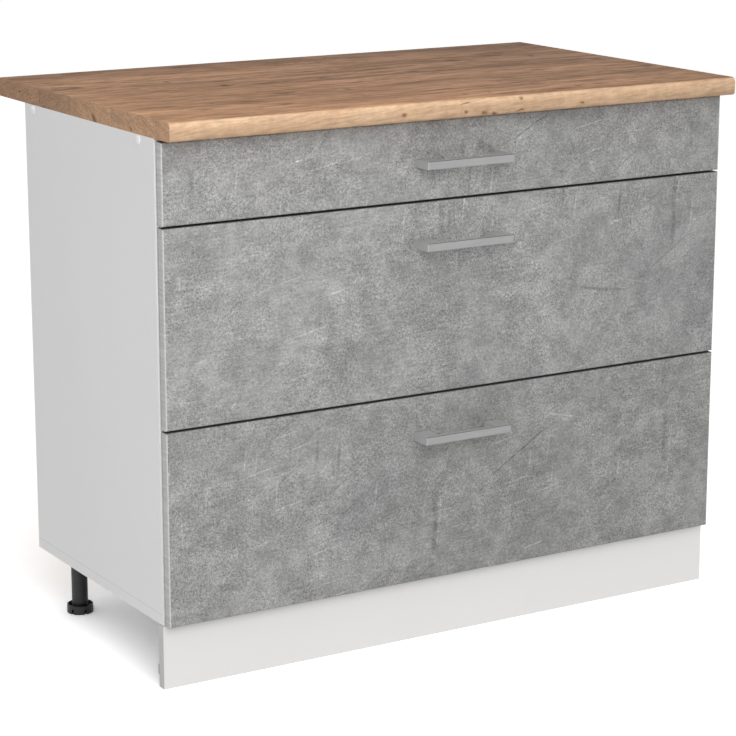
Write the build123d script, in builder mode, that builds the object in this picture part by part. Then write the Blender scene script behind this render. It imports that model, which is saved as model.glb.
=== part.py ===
from build123d import *
import os

# A kitchen base cabinet: a chipboard carcass on plinth legs under a postformed worktop,
# with three drawers that run in it on steel roller runners.
#
# Millimetres. X to the right, Y to the back, Z up. The origin is on the floor, below the
# middle of the whole. The drawers open towards -Y.

SIDES = {"left": -1, "right": 1}
ENDS = ("front", "rear")
LEVELS = ("top", "middle", "bottom")

# --- Driving sizes -----------------------------------------------------------------------

# Carcass
cabinet_width = 1000
carcass_height = 720
carcass_depth = 446
panel_thickness = 16
front_rail_depth = 96
rear_rail_depth = 60
back_thickness = 3
back_inset = 10
groove_depth = 8
groove_play = 0.2
edge_band = 0.4

# Worktop, with its laminate wrapped over the front edge
worktop_depth = 600
worktop_thickness = 28
worktop_overhang = 32
laminate = 0.8
nose_radius_top = 8
nose_radius_bottom = 5
laminate_return = 30

# Plinth and legs
leg_height = 100
plinth_thickness = 16
plinth_gap = 2
leg_inset_x = 43
leg_inset_y = 58
leg_plate = 60
leg_plate_thickness = 4
leg_tube_diameter = 26
leg_tube_wall = 3
foot_diameter = 42
foot_height = 14
foot_clearance = 1
foot_slots = 6
foot_slot_width = 3.5
foot_slot_depth = 3
foot_slot_height = 8
stem_length = 50
stem_fit = 0.05
clip_height = 16
clip_wall = 2.5
clip_fit = 0.1
clip_mouth = 20
clip_neck = 12
clip_plate = 40
clip_level = 50

# Drawer fronts
front_thickness = 16
front_gap = 2
side_reveal = 2
top_reveal = 4
front_spacing = 3
top_front_height = 120
front_edge_radius = 3

# Bow handles
handle_length = 154
handle_height = 12.5
handle_reach = 36
handle_bar = 8
handle_leg = 26
handle_drop = 62.5
handle_edge = 0.7

# Runners: a C-shaped cabinet rail, a track on the drawer side, and a roller on each
sheet = 1.2
roller_diameter = 21
roller_width = 7.5
roller_gap = 0.3
axle_diameter = 6
axle_fit = 0.05
track_gap = 0.6
track_leg = 11
runner_rise = 12
rail_setback = 2
runner_clearance = 46
front_axle_inset = 12
rear_axle_inset = 15
lift_out_length = 26
held_length = 90

# Drawer boxes
side_lift = 2
drawer_headroom = 10
deep_side_height = 118
lip_width = 6
lip_drop = 4
flange_width = 14
rear_tab_width = 20
rear_tab_drop = 8
base_thickness = 16
drawer_back_thickness = 16
board_play = 0.1
gallery_diameter = 10
gallery_drop = 103
gallery_inset = 22
bracket_thickness = 1.8
bracket_length = 40
bracket_margin = 4

# Screw caps
cap_diameter = 14
cap_rise = 2

# --- Places worked out from them ---------------------------------------------------------

foremost = max(handle_reach, worktop_overhang)
front_face_y = (foremost - (worktop_depth - worktop_overhang)) / 2
front_back_y = front_face_y + front_thickness
carcass_front_y = front_back_y + front_gap
carcass_back_y = carcass_front_y + carcass_depth
worktop_front_y = front_face_y - worktop_overhang
worktop_back_y = worktop_front_y + worktop_depth

half_width = cabinet_width / 2
inner_half = half_width - panel_thickness
board_middle_x = inner_half + panel_thickness / 2
board_depth = carcass_depth - edge_band
board_middle_y = carcass_back_y - board_depth / 2
board_front_y = carcass_front_y + edge_band

carcass_bottom_z = leg_height
bottom_top_z = carcass_bottom_z + panel_thickness
carcass_top_z = carcass_bottom_z + carcass_height
rail_under_z = carcass_top_z - panel_thickness
rail_middle_z = carcass_top_z - panel_thickness / 2
worktop_top_z = carcass_top_z + worktop_thickness

groove_width = back_thickness + groove_play
groove_y = carcass_back_y - back_inset - groove_width / 2
top_rail_depth = {"front": front_rail_depth, "rear": rear_rail_depth}
top_rail_y = {
    "front": board_front_y + front_rail_depth / 2,
    "rear": carcass_back_y - rear_rail_depth / 2,
}

leg_y = {"front": carcass_front_y + leg_inset_y, "rear": carcass_back_y - leg_inset_y}
leg_x = half_width - leg_inset_x
leg_places = {
    f"{end}_{word}": (side * leg_x, leg_y[end], 0) for end in ENDS for word, side in SIDES.items()
}
plinth_back_y = carcass_front_y + plinth_thickness
stem_radius = leg_tube_diameter / 2 - leg_tube_wall

# Heights in a runner, above the underside of its cabinet rail
axle_height = sheet + roller_gap + roller_diameter / 2
track_under = axle_height + roller_diameter / 2 + roller_gap
track_middle = track_under + sheet / 2
rail_height = track_under + sheet + track_gap + sheet

# Distances in a runner, inwards from the inner face of the cabinet's side
rail_width = sheet + roller_width + 3 * roller_gap
track_outer = sheet + track_gap
track_leg_middle = rail_width + track_gap + sheet / 2
side_middle = track_leg_middle + sheet
side_outer = side_middle - sheet / 2
side_inner = side_middle + sheet / 2

rail_front_y = carcass_front_y + rail_setback
runner_length = carcass_depth - runner_clearance
side_back_y = front_back_y + runner_length
axle_y = {"front": rail_front_y + front_axle_inset, "rear": side_back_y - rear_axle_inset}
travel = runner_length - held_length
stop_y = axle_y["rear"] - travel - roller_diameter / 2 - roller_gap - sheet
stop_reach = side_outer - roller_gap - roller_width / 2
base_half = inner_half - side_inner - board_play
base_depth = runner_length - sheet

deep_front_height = (carcass_height - top_reveal - top_front_height - 2 * front_spacing) / 2
front_height = {"top": top_front_height, "middle": deep_front_height, "bottom": deep_front_height}
front_top_z = {"top": carcass_top_z - top_reveal}
front_top_z["middle"] = front_top_z["top"] - top_front_height - front_spacing
front_top_z["bottom"] = front_top_z["middle"] - deep_front_height - front_spacing
runner_z = {
    "top": front_top_z["top"] - top_front_height + runner_rise,
    "middle": front_top_z["middle"] - deep_front_height + runner_rise,
    "bottom": bottom_top_z + runner_rise,
}
shallow_side_height = rail_under_z - drawer_headroom - runner_z["top"]
side_height = {"top": shallow_side_height, "middle": deep_side_height, "bottom": deep_side_height}
base_rise = side_lift + sheet
drawer_floor = base_rise + base_thickness
gallery_z = {level: front_top_z[level] - gallery_drop for level in ("middle", "bottom")}
drawer_back_top = {
    "top": runner_z["top"] + side_height["top"],
    "middle": gallery_z["middle"] + gallery_diameter,
    "bottom": gallery_z["bottom"] + gallery_diameter,
}


# --- Helpers -----------------------------------------------------------------------------


def keep(piece, name):
    """Labels a finished piece and writes it to a file of its own."""
    piece.part.label = name
    export_step(piece.part, f"parts/{name}.step")


def facing_front(y):
    """The upright plane at depth y: X to the right, Z up, its normal towards the front."""
    return Plane.XZ.offset(-y)


def facing_right(x):
    """The upright plane at x: Y to the right, Z up, its normal along +X."""
    return Plane.YZ.offset(x)


# --- Carcass -----------------------------------------------------------------------------


def side_panel(word, side):
    """An upright side that stands on the bottom panel, grooved for the back panel."""
    with BuildPart() as panel:
        with BuildSketch(Plane.XY.offset(bottom_top_z)):
            with Locations((side * board_middle_x, board_middle_y)):
                Rectangle(panel_thickness, board_depth)
            with Locations((side * (inner_half + groove_depth / 2), groove_y)):
                Rectangle(groove_depth, groove_width, mode=Mode.SUBTRACT)
        extrude(amount=carcass_height - panel_thickness)
    keep(panel, f"side_panel_{word}")


def bottom_panel():
    """The full-width bottom, grooved for the back panel, on which the sides stand."""
    with BuildPart() as panel:
        with BuildSketch(facing_right(-half_width)):
            with Locations((board_middle_y, carcass_bottom_z + panel_thickness / 2)):
                Rectangle(board_depth, panel_thickness)
        extrude(amount=cabinet_width)
        with BuildSketch(Plane.XY.offset(bottom_top_z)):
            with Locations((0, groove_y)):
                Rectangle(2 * (inner_half + groove_depth), groove_width)
        extrude(amount=-groove_depth, mode=Mode.SUBTRACT)
    keep(panel, "bottom_panel")


def back_panel():
    """A thin hardboard back, held in the grooves of the sides, the bottom and the rear rail."""
    with BuildPart() as panel:
        with BuildSketch(Plane.XY.offset(bottom_top_z - groove_depth)):
            with Locations((0, groove_y)):
                Rectangle(2 * (inner_half + groove_depth - board_play), back_thickness)
        extrude(amount=rail_under_z - bottom_top_z + 2 * groove_depth - board_play)
    keep(panel, "back_panel")


def top_rail(end):
    """A flat rail between the sides, just under the worktop."""
    with BuildPart() as rail:
        with BuildSketch(Plane.XY.offset(rail_under_z)):
            with Locations((0, top_rail_y[end])):
                Rectangle(2 * inner_half, top_rail_depth[end])
        extrude(amount=panel_thickness)
        if end == "rear":
            with BuildSketch(Plane.XY.offset(rail_under_z)):
                with Locations((0, groove_y)):
                    Rectangle(2 * inner_half, groove_width)
            extrude(amount=groove_depth, mode=Mode.SUBTRACT)
    keep(rail, f"{end}_top_rail")


def edge_bands():
    """The thin strips glued on the front edges of the sides, and of the bottom and front rail."""
    side_middle_z = (bottom_top_z + carcass_top_z) / 2
    with BuildPart() as upright:
        with BuildSketch(facing_front(board_front_y)):
            with Locations(*[(side * board_middle_x, side_middle_z) for side in SIDES.values()]):
                Rectangle(panel_thickness, carcass_top_z - bottom_top_z)
        extrude(amount=edge_band)
    keep(upright, "side_edge_bands")
    with BuildPart() as level:
        with BuildSketch(facing_front(board_front_y)):
            with Locations((0, carcass_bottom_z + panel_thickness / 2)):
                Rectangle(cabinet_width, panel_thickness)
            with Locations((0, rail_middle_z)):
                Rectangle(2 * inner_half, panel_thickness)
        extrude(amount=edge_band)
    keep(level, "cross_edge_bands")


def screw_caps():
    """Flat caps on the sides, over the screws that run into the ends of the top rails."""
    with BuildPart() as caps:
        for side in SIDES.values():
            with BuildSketch(facing_right(side * half_width)):
                with Locations(*[(y, rail_middle_z) for y in top_rail_y.values()]):
                    Circle(cap_diameter / 2)
            extrude(amount=side * cap_rise)
    keep(caps, "screw_caps")


# --- Worktop -----------------------------------------------------------------------------


def worktop_section(x):
    """The worktop's full outline, seen from the right, with its rounded front edge."""
    with BuildSketch(facing_right(x)) as section:
        with BuildLine():
            nose = FilletPolyline(
                (worktop_back_y, worktop_top_z),
                (worktop_front_y, worktop_top_z),
                (worktop_front_y, carcass_top_z),
                (worktop_back_y, carcass_top_z),
                radius=[nose_radius_top, nose_radius_bottom],
            )
            Line(nose @ 1, nose @ 0)
        make_face()
    return section.sketch


def laminate_section(x):
    """The laminate: over the top, round the front edge and a little way back underneath."""
    with BuildSketch(facing_right(x)) as section:
        with BuildLine():
            FilletPolyline(
                (worktop_back_y, worktop_top_z - laminate / 2),
                (worktop_front_y + laminate / 2, worktop_top_z - laminate / 2),
                (worktop_front_y + laminate / 2, carcass_top_z + laminate / 2),
                (worktop_front_y + laminate_return, carcass_top_z + laminate / 2),
                radius=[nose_radius_top - laminate / 2, nose_radius_bottom - laminate / 2],
            )
        trace(line_width=laminate)
    return section.sketch


def worktop():
    """A chipboard core, its laminate, and a strip of the same thickness on each end."""
    core_half = half_width - laminate
    with BuildPart() as skin:
        extrude(laminate_section(-core_half), amount=2 * core_half)
    keep(skin, "worktop_laminate")
    with BuildPart() as core:
        extrude(worktop_section(-core_half), amount=2 * core_half)
        extrude(laminate_section(-core_half), amount=2 * core_half, mode=Mode.SUBTRACT)
    keep(core, "worktop_core")
    with BuildPart() as strips:
        extrude(worktop_section(-half_width), amount=laminate)
        extrude(worktop_section(core_half), amount=laminate)
    keep(strips, "worktop_edge_strips")


# --- Plinth and legs ---------------------------------------------------------------------


def plinth_board():
    """The board that closes the front below the drawers, standing on the floor."""
    with BuildPart() as board:
        with BuildSketch(Plane.XY):
            with Locations((0, carcass_front_y + plinth_thickness / 2)):
                Rectangle(cabinet_width, plinth_thickness)
        extrude(amount=leg_height - plinth_gap)
    keep(board, "plinth_board")


def plinth_clips():
    """Snap rings on the plinth's back that grip the front legs, open to the rear."""
    grip_radius = leg_tube_diameter / 2 + clip_fit
    neck_length = leg_y["front"] - plinth_back_y
    with BuildPart() as clips:
        with BuildSketch(Plane.XY.offset(clip_level)):
            with Locations(*[(side * leg_x, leg_y["front"]) for side in SIDES.values()]):
                Circle(grip_radius + clip_wall)
            with Locations(*[(side * leg_x, plinth_back_y + neck_length / 2) for side in SIDES.values()]):
                Rectangle(clip_neck, neck_length)
            with Locations(*[(side * leg_x, plinth_back_y + clip_wall / 2) for side in SIDES.values()]):
                Rectangle(clip_plate, clip_wall)
            with Locations(*[(side * leg_x, leg_y["front"]) for side in SIDES.values()]):
                Circle(grip_radius, mode=Mode.SUBTRACT)
                Rectangle(
                    clip_mouth,
                    leg_tube_diameter,
                    align=(Align.CENTER, Align.MIN),
                    mode=Mode.SUBTRACT,
                )
        extrude(amount=clip_height)
    keep(clips, "plinth_clips")


def leg_bodies():
    """The legs' upper halves: plates under the bottom panel, each with a tube below it."""
    plate_under_z = leg_height - leg_plate_thickness
    tube_length = plate_under_z - foot_height - foot_clearance
    with BuildPart() as legs:
        with BuildSketch(Plane.XY.offset(plate_under_z)):
            with Locations(*leg_places.values()):
                Rectangle(leg_plate, leg_plate)
        extrude(amount=leg_plate_thickness)
        with BuildSketch(Plane.XY.offset(plate_under_z)):
            with Locations(*leg_places.values()):
                Circle(leg_tube_diameter / 2)
                Circle(stem_radius + stem_fit, mode=Mode.SUBTRACT)
        extrude(amount=-tube_length)
    keep(legs, "leg_bodies")


def leg_foot(name, place):
    """A levelling foot: a slotted disc on the floor, and the stem that screws up into the leg's tube."""
    with BuildPart() as foot:
        with BuildSketch(Plane(place)):
            Circle(foot_diameter / 2)
        extrude(amount=foot_height)
        with BuildSketch(Plane(place)):
            with PolarLocations(foot_diameter / 2, foot_slots, start_angle=90):
                Rectangle(2 * foot_slot_depth, foot_slot_width)
        extrude(amount=foot_slot_height, mode=Mode.SUBTRACT)
        with BuildSketch(Plane(place).offset(foot_height)):
            Circle(stem_radius)
        extrude(amount=stem_length)
    keep(foot, f"leg_foot_{name}")


# --- Runners -----------------------------------------------------------------------------


def in_runner(level, side, inward, up):
    """X and Z of a point in a runner's section, from the cabinet's side and the rail's underside."""
    return (side * (inner_half - inward), runner_z[level] + up)


def axle_plane(end, level, side):
    """The face that an axle stands on: the rail's web at the front, the drawer's side at the rear."""
    inward, facing = (sheet, -side) if end == "front" else (side_outer, side)
    x, z = in_runner(level, side, inward, axle_height)
    return Plane(origin=(x, axle_y[end], z), x_dir=(0, 1, 0), z_dir=(facing, 0, 0))


def axle(plane):
    """Adds the riveted axle that a roller turns on to the piece being made."""
    with BuildSketch(plane) as shank:
        Circle(axle_diameter / 2)
    extrude(shank.sketch, amount=roller_width + 2 * roller_gap)


def cabinet_rail(level, word, side):
    """A C-shaped rail on the cabinet's side, open to the drawer, with its roller's axle."""
    with BuildPart() as rail:
        with BuildSketch(facing_front(rail_front_y)):
            with BuildLine():
                Polyline(
                    in_runner(level, side, rail_width, sheet / 2),
                    in_runner(level, side, sheet / 2, sheet / 2),
                    in_runner(level, side, sheet / 2, rail_height - sheet / 2),
                    in_runner(level, side, rail_width, rail_height - sheet / 2),
                )
            trace(line_width=sheet)
        extrude(amount=-runner_length)
        # The top flange is cut away at the front, so that the drawer can be lifted out
        with BuildSketch(facing_front(rail_front_y)):
            with Locations(in_runner(level, side, (sheet + rail_width) / 2, rail_height - sheet / 2)):
                Rectangle(rail_width - sheet, sheet)
        extrude(amount=-lift_out_length, mode=Mode.SUBTRACT)
        # A bent tab stops the drawer's roller at full travel
        with BuildSketch(facing_front(stop_y)):
            with Locations(in_runner(level, side, stop_reach / 2, axle_height)):
                Rectangle(stop_reach, axle_diameter)
        extrude(amount=-sheet)
        axle(axle_plane("front", level, side))
    keep(rail, f"cabinet_rail_{level}_{word}")


def roller_pair(end, level):
    """The two plain rollers that turn on the axles at one end of a drawer's runners."""
    with BuildPart() as rollers:
        for side in SIDES.values():
            with BuildSketch(axle_plane(end, level, side).offset(roller_gap)):
                Circle(roller_diameter / 2)
                Circle(axle_diameter / 2 + axle_fit, mode=Mode.SUBTRACT)
            extrude(amount=roller_width)
    keep(rollers, f"{end}_rollers_{level}")


# --- Drawers -----------------------------------------------------------------------------


def drawer_front(level):
    """A front with its face rounded along all four edges."""
    with BuildPart() as front:
        with BuildSketch(facing_front(front_back_y)):
            with Locations((0, front_top_z[level] - front_height[level] / 2)):
                Rectangle(cabinet_width - 2 * side_reveal, front_height[level])
        extrude(amount=front_thickness)
        fillet(front.faces().sort_by(Axis.Y)[0].edges(), front_edge_radius)
    keep(front, f"drawer_front_{level}")


def handle(level):
    """A square bow handle: a bar on two broad legs, with its front edges chamfered."""
    gap = handle_length - 2 * handle_leg
    gap_depth = handle_reach - handle_bar
    with BuildPart() as bow:
        with BuildSketch(Plane.XY.offset(front_top_z[level] - handle_drop)):
            with Locations((0, front_face_y - handle_reach / 2)):
                Rectangle(handle_length, handle_reach)
            with Locations((0, front_face_y - gap_depth / 2)):
                Rectangle(gap, gap_depth, mode=Mode.SUBTRACT)
        extrude(amount=handle_height / 2, both=True)
        chamfer(bow.faces().sort_by(Axis.Y)[0].edges(), handle_edge)
    keep(bow, f"handle_{level}")


def drawer_side(level, word, side):
    """A steel side: web, inward flange under the base, folded lip, welded track, tab and axle."""
    top = side_height[level] - sheet / 2
    foot = side_lift + sheet / 2
    tab_top = side_height[level] - rear_tab_drop
    with BuildPart() as metal:
        with BuildSketch(facing_front(front_back_y)):
            with BuildLine():
                Polyline(
                    in_runner(level, side, side_middle + flange_width, foot),
                    in_runner(level, side, side_middle, foot),
                    in_runner(level, side, side_middle, top),
                    in_runner(level, side, side_middle - lip_width, top),
                    in_runner(level, side, side_middle - lip_width, top - lip_drop),
                )
            trace(line_width=sheet)
            with BuildLine():
                Polyline(
                    in_runner(level, side, track_outer, track_middle),
                    in_runner(level, side, track_leg_middle, track_middle),
                    in_runner(level, side, track_leg_middle, track_middle + track_leg),
                )
            trace(line_width=sheet)
        extrude(amount=-runner_length)
        with BuildSketch(facing_front(side_back_y)):
            with Locations(in_runner(level, side, side_middle + rear_tab_width / 2, (foot + tab_top) / 2)):
                Rectangle(rear_tab_width, tab_top - foot)
        extrude(amount=sheet)
        axle(axle_plane("rear", level, side))
    keep(metal, f"drawer_side_{level}_{word}")


def drawer_base(level):
    """The board that lies on the flanges of the two sides."""
    with BuildPart() as base:
        with BuildSketch(Plane.XY.offset(runner_z[level] + base_rise)):
            with Locations((0, front_back_y + base_depth / 2)):
                Rectangle(2 * base_half, base_depth)
        extrude(amount=base_thickness)
    keep(base, f"drawer_base_{level}")


def drawer_back(level):
    """The board that stands on the rear of the base, against the tabs of the sides."""
    floor_z = runner_z[level] + drawer_floor
    with BuildPart() as back:
        with BuildSketch(Plane.XY.offset(floor_z)):
            with Locations((0, front_back_y + base_depth - drawer_back_thickness / 2)):
                Rectangle(2 * base_half, drawer_back_thickness)
        extrude(amount=drawer_back_top[level] - floor_z)
    keep(back, f"drawer_back_{level}")


def front_brackets(level):
    """Angle brackets that join the front to the outside of each drawer side."""
    low = track_middle + track_leg + bracket_margin
    high = side_height[level] - sheet - lip_drop - bracket_margin
    middle = bracket_thickness / 2
    with BuildPart() as brackets:
        for side in SIDES.values():
            web_x = side * (inner_half - side_outer + middle)
            with BuildSketch(Plane.XY.offset(runner_z[level] + low)):
                with BuildLine():
                    Polyline(
                        (side * (inner_half - track_outer), front_back_y + middle),
                        (web_x, front_back_y + middle),
                        (web_x, front_back_y + bracket_length),
                    )
                trace(line_width=bracket_thickness)
            extrude(amount=high - low)
    keep(brackets, f"front_brackets_{level}")


def gallery_rails(level):
    """Round rails from the front to the back of a deep drawer, above its sides."""
    gallery_x = inner_half - gallery_inset
    with BuildPart() as rails:
        with BuildSketch(facing_front(front_back_y)):
            with Locations(*[(side * gallery_x, gallery_z[level]) for side in SIDES.values()]):
                Circle(gallery_diameter / 2)
        extrude(amount=drawer_back_thickness - base_depth)
    keep(rails, f"gallery_rails_{level}")


# --- The whole ---------------------------------------------------------------------------

os.makedirs("parts", exist_ok=True)

bottom_panel()
back_panel()
for end in ENDS:
    top_rail(end)
edge_bands()
screw_caps()
worktop()
plinth_board()
plinth_clips()
leg_bodies()
for name, place in leg_places.items():
    leg_foot(name, place)
for word, side in SIDES.items():
    side_panel(word, side)
    for level in LEVELS:
        cabinet_rail(level, word, side)
        drawer_side(level, word, side)
for level in LEVELS:
    for end in ENDS:
        roller_pair(end, level)
    drawer_front(level)
    handle(level)
    drawer_base(level)
    drawer_back(level)
    front_brackets(level)
for level in gallery_z:
    gallery_rails(level)
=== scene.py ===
import math

import bmesh
import bpy
from mathutils import Matrix, Vector

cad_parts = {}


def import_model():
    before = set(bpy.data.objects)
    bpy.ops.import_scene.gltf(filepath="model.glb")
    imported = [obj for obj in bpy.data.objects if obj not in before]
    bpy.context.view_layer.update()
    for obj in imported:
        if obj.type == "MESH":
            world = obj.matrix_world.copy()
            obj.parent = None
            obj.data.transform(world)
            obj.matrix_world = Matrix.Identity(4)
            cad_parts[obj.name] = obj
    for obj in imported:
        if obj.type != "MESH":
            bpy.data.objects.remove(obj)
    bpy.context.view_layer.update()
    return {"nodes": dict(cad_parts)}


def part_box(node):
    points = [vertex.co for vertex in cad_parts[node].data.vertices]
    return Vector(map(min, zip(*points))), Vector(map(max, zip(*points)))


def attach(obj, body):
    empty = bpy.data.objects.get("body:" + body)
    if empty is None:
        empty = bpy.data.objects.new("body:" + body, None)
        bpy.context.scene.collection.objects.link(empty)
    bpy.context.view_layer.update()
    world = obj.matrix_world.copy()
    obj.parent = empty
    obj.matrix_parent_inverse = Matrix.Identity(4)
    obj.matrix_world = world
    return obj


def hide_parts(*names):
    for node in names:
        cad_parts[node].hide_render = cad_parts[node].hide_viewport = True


# The looks of a kitchen base cabinet with three drawers. Metres, in the frame of the packed
# model: X to the right, Y to the back, Z up, the origin on the floor below the middle.

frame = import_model()

LEVELS = ("top", "middle", "bottom")
SIDES = {"left": -1, "right": 1}
X, Y, Z = range(3)
MM = 0.001

# --- Materials ---------------------------------------------------------------------------


class Finish:
    """A procedural material: one principled shader and short calls for the nodes that feed it."""

    def __init__(self, name, **settings):
        self.material = bpy.data.materials.new(name)
        self.material.use_nodes = True
        self.tree = self.material.node_tree
        self.tree.nodes.clear()
        output = self.node("ShaderNodeOutputMaterial")
        self.shader = self.node("ShaderNodeBsdfPrincipled")
        self.tree.links.new(self.shader.outputs["BSDF"], output.inputs["Surface"])
        coordinates = self.node("ShaderNodeTexCoord")
        self.place = coordinates.outputs["Object"]
        self.normal = coordinates.outputs["Normal"]
        for socket, value in settings.items():
            self.shader.inputs[socket.replace("_", " ")].default_value = value

    def node(self, kind, **settings):
        made = self.tree.nodes.new(kind)
        for key, value in settings.items():
            setattr(made, key, value)
        return made

    def feed(self, socket, value):
        """Links a socket to another node's, or sets what it says."""
        if isinstance(value, bpy.types.NodeSocket):
            self.tree.links.new(value, socket)
        else:
            socket.default_value = value

    def give(self, name, value):
        """Feeds one of the shader's sockets."""
        self.feed(self.shader.inputs[name], value)

    def math(self, operation, *values):
        made = self.node("ShaderNodeMath", operation=operation)
        for socket, value in zip(made.inputs, values):
            self.feed(socket, value)
        return made.outputs[0]

    def total(self, *values):
        """The sum of several values."""
        result = values[0]
        for value in values[1:]:
            result = self.math("ADD", result, value)
        return result

    def product(self, *values):
        """The product of several values."""
        result = values[0]
        for value in values[1:]:
            result = self.math("MULTIPLY", result, value)
        return result

    def axes(self, vector=None):
        """The X, Y and Z of a vector."""
        parts = self.node("ShaderNodeSeparateXYZ")
        self.feed(parts.inputs[0], vector or self.place)
        return parts.outputs

    def vector(self, x, y, z):
        joined = self.node("ShaderNodeCombineXYZ")
        for socket, value in zip(joined.inputs, (x, y, z)):
            self.feed(socket, value)
        return joined.outputs[0]

    def mapped(self, scale=(1, 1, 1), shift=(0, 0, 0), turn=(0, 0, 0), of=None):
        """The object's own coordinates, or another vector, turned, stretched and shifted."""
        mapping = self.node("ShaderNodeMapping")
        self.feed(mapping.inputs["Vector"], of or self.place)
        mapping.inputs["Location"].default_value = shift
        mapping.inputs["Rotation"].default_value = [math.radians(angle) for angle in turn]
        mapping.inputs["Scale"].default_value = scale
        return mapping.outputs[0]

    def warped(self, vector, scale, amount):
        """A vector pushed about by soft noise, so that what follows it wavers."""
        noise = self.node("ShaderNodeTexNoise")
        self.feed(noise.inputs["Vector"], vector)
        noise.inputs["Scale"].default_value = scale
        noise.inputs["Detail"].default_value = 1
        centred = self.node("ShaderNodeVectorMath", operation="SUBTRACT")
        self.feed(centred.inputs[0], noise.outputs["Color"])
        centred.inputs[1].default_value = (0.5, 0.5, 0.5)
        push = self.node("ShaderNodeVectorMath", operation="MULTIPLY_ADD")
        self.feed(push.inputs[0], centred.outputs[0])
        push.inputs[1].default_value = (amount, amount, amount)
        self.feed(push.inputs[2], vector)
        return push.outputs[0]

    def noise(self, vector, scale, detail=3, roughness=0.5, distortion=0):
        noise = self.node("ShaderNodeTexNoise")
        self.feed(noise.inputs["Vector"], vector)
        noise.inputs["Scale"].default_value = scale
        noise.inputs["Detail"].default_value = detail
        noise.inputs["Roughness"].default_value = roughness
        noise.inputs["Distortion"].default_value = distortion
        return noise.outputs["Fac"]

    def cells(self, vector, scale, feature="F1", dimensions="3D"):
        """Voronoi cells: the distance in each, and its random colour."""
        cells = self.node("ShaderNodeTexVoronoi", feature=feature, voronoi_dimensions=dimensions)
        self.feed(cells.inputs["W" if dimensions == "1D" else "Vector"], vector)
        cells.inputs["Scale"].default_value = scale
        return cells.outputs

    def ease(self, value, low, high, start=0.0, end=1.0):
        """Start below low, end above high, and a smooth way between them."""
        ranged = self.node("ShaderNodeMapRange", interpolation_type="SMOOTHSTEP")
        for socket, number in zip(ranged.inputs, (value, low, high, start, end)):
            self.feed(socket, number)
        return ranged.outputs[0]

    def swing(self, value, amount):
        """Noise about its middle, as a factor about one."""
        return self.ease(value, 0.3, 0.7, 1 - amount, 1 + amount)

    def line(self, value, width, middle=0.5):
        """One along the line where a value passes its middle, and nought away from it."""
        away = self.math("ABSOLUTE", self.math("SUBTRACT", value, middle))
        return self.ease(away, 0, width, 1, 0)

    def seen_from(self, centre, radii, turn, of):
        """A point of a plane, in the half axes of a turned ellipse about a centre."""
        mapping = self.node("ShaderNodeMapping", vector_type="TEXTURE")
        self.feed(mapping.inputs["Vector"], of)
        mapping.inputs["Location"].default_value = (*centre, 0)
        mapping.inputs["Rotation"].default_value = (0, 0, turn)
        mapping.inputs["Scale"].default_value = (*radii, 1)
        return mapping.outputs[0]

    def spot(self, centre, radii, lean, of):
        """One at a centre and nought outside an ellipse about it that leans by an angle."""
        length = self.node("ShaderNodeVectorMath", operation="LENGTH")
        self.feed(length.inputs[0], self.seen_from(centre, radii, math.radians(lean), of))
        return self.ease(length.outputs["Value"], 0, 1, 1, 0)

    def stroke(self, start, end, half_width, of):
        """A line drawn between two points of a plane, fading out at its ends and sides."""
        run = Vector(end) - Vector(start)
        middle = (Vector(end) + Vector(start)) / 2
        away = self.node("ShaderNodeVectorMath", operation="ABSOLUTE")
        half_axes = (run.length / 2, half_width)
        self.feed(away.inputs[0], self.seen_from(middle, half_axes, math.atan2(run.y, run.x), of))
        along, across = self.axes(away.outputs[0])[:2]
        return self.product(self.ease(along, 0.70, 1, 1, 0), self.ease(across, 0.2, 1, 1, 0))

    def blend(self, factor, first, second):
        """Two colours, mixed."""
        mix = self.node("ShaderNodeMix", data_type="RGBA")
        self.feed(mix.inputs["Factor"], factor)
        for socket, colour in zip((mix.inputs["A"], mix.inputs["B"]), (first, second)):
            self.feed(socket, (*colour, 1) if isinstance(colour, tuple) else colour)
        return mix.outputs["Result"]

    def shade(self, colour, value):
        """A colour made lighter or darker by a value."""
        scaled = self.node("ShaderNodeVectorMath", operation="SCALE")
        self.feed(scaled.inputs[0], colour)
        self.feed(scaled.inputs["Scale"], value)
        return scaled.outputs[0]

    def bump(self, height, distance, strength=1.0):
        """Relief of a height in metres."""
        bump = self.node("ShaderNodeBump")
        self.feed(bump.inputs["Height"], height)
        bump.inputs["Distance"].default_value = distance
        bump.inputs["Strength"].default_value = strength
        self.give("Normal", bump.outputs[0])

    def facing(self, axis, sign, sharp=0.9):
        """One on faces that look along an axis."""
        toward = self.math("MULTIPLY", self.axes(self.normal)[axis], sign)
        return self.ease(toward, sharp - 0.05, sharp, 0, 1)

    def facing_either(self, axis, low, high, start=0.0, end=1.0):
        """The same on faces that look either way along an axis."""
        return self.ease(self.math("ABSOLUTE", self.axes(self.normal)[axis]), low, high, start, end)


# Colours, as linear red, green and blue
NEUTRAL = (1.0, 1.0, 1.0)
PLINTH_WARMTH = (1.0, 0.988, 0.975)
CHIP_DARK = (0.36, 0.24, 0.13)
CHIP_PALE = (0.62, 0.46, 0.29)
BACKING_DARK = (0.34, 0.215, 0.125)
BACKING_PALE = (0.42, 0.28, 0.17)
HARDBOARD_DARK = (0.235, 0.135, 0.072)
HARDBOARD_PALE = (0.33, 0.205, 0.118)
HARDBOARD_WHITE = (0.85, 0.85, 0.84)
CONCRETE_GREENISH = (0.361, 0.363, 0.351)
CONCRETE_REDDISH = (0.360, 0.356, 0.355)
FRONT_EDGING = (1.0, 1.0, 0.985)
FRONT_BACK = (0.87, 0.87, 0.865)
OAK_BROWN = (0.424, 0.220, 0.110)
OAK_STREAK = (0.200, 0.096, 0.044)
OAK_CRACK = (0.130, 0.054, 0.024)
OAK_KNOT = (0.115, 0.045, 0.019)
NOSE_PALE = (0.785, 0.535, 0.345)
NOSE_DARK = (0.69, 0.450, 0.282)
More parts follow.
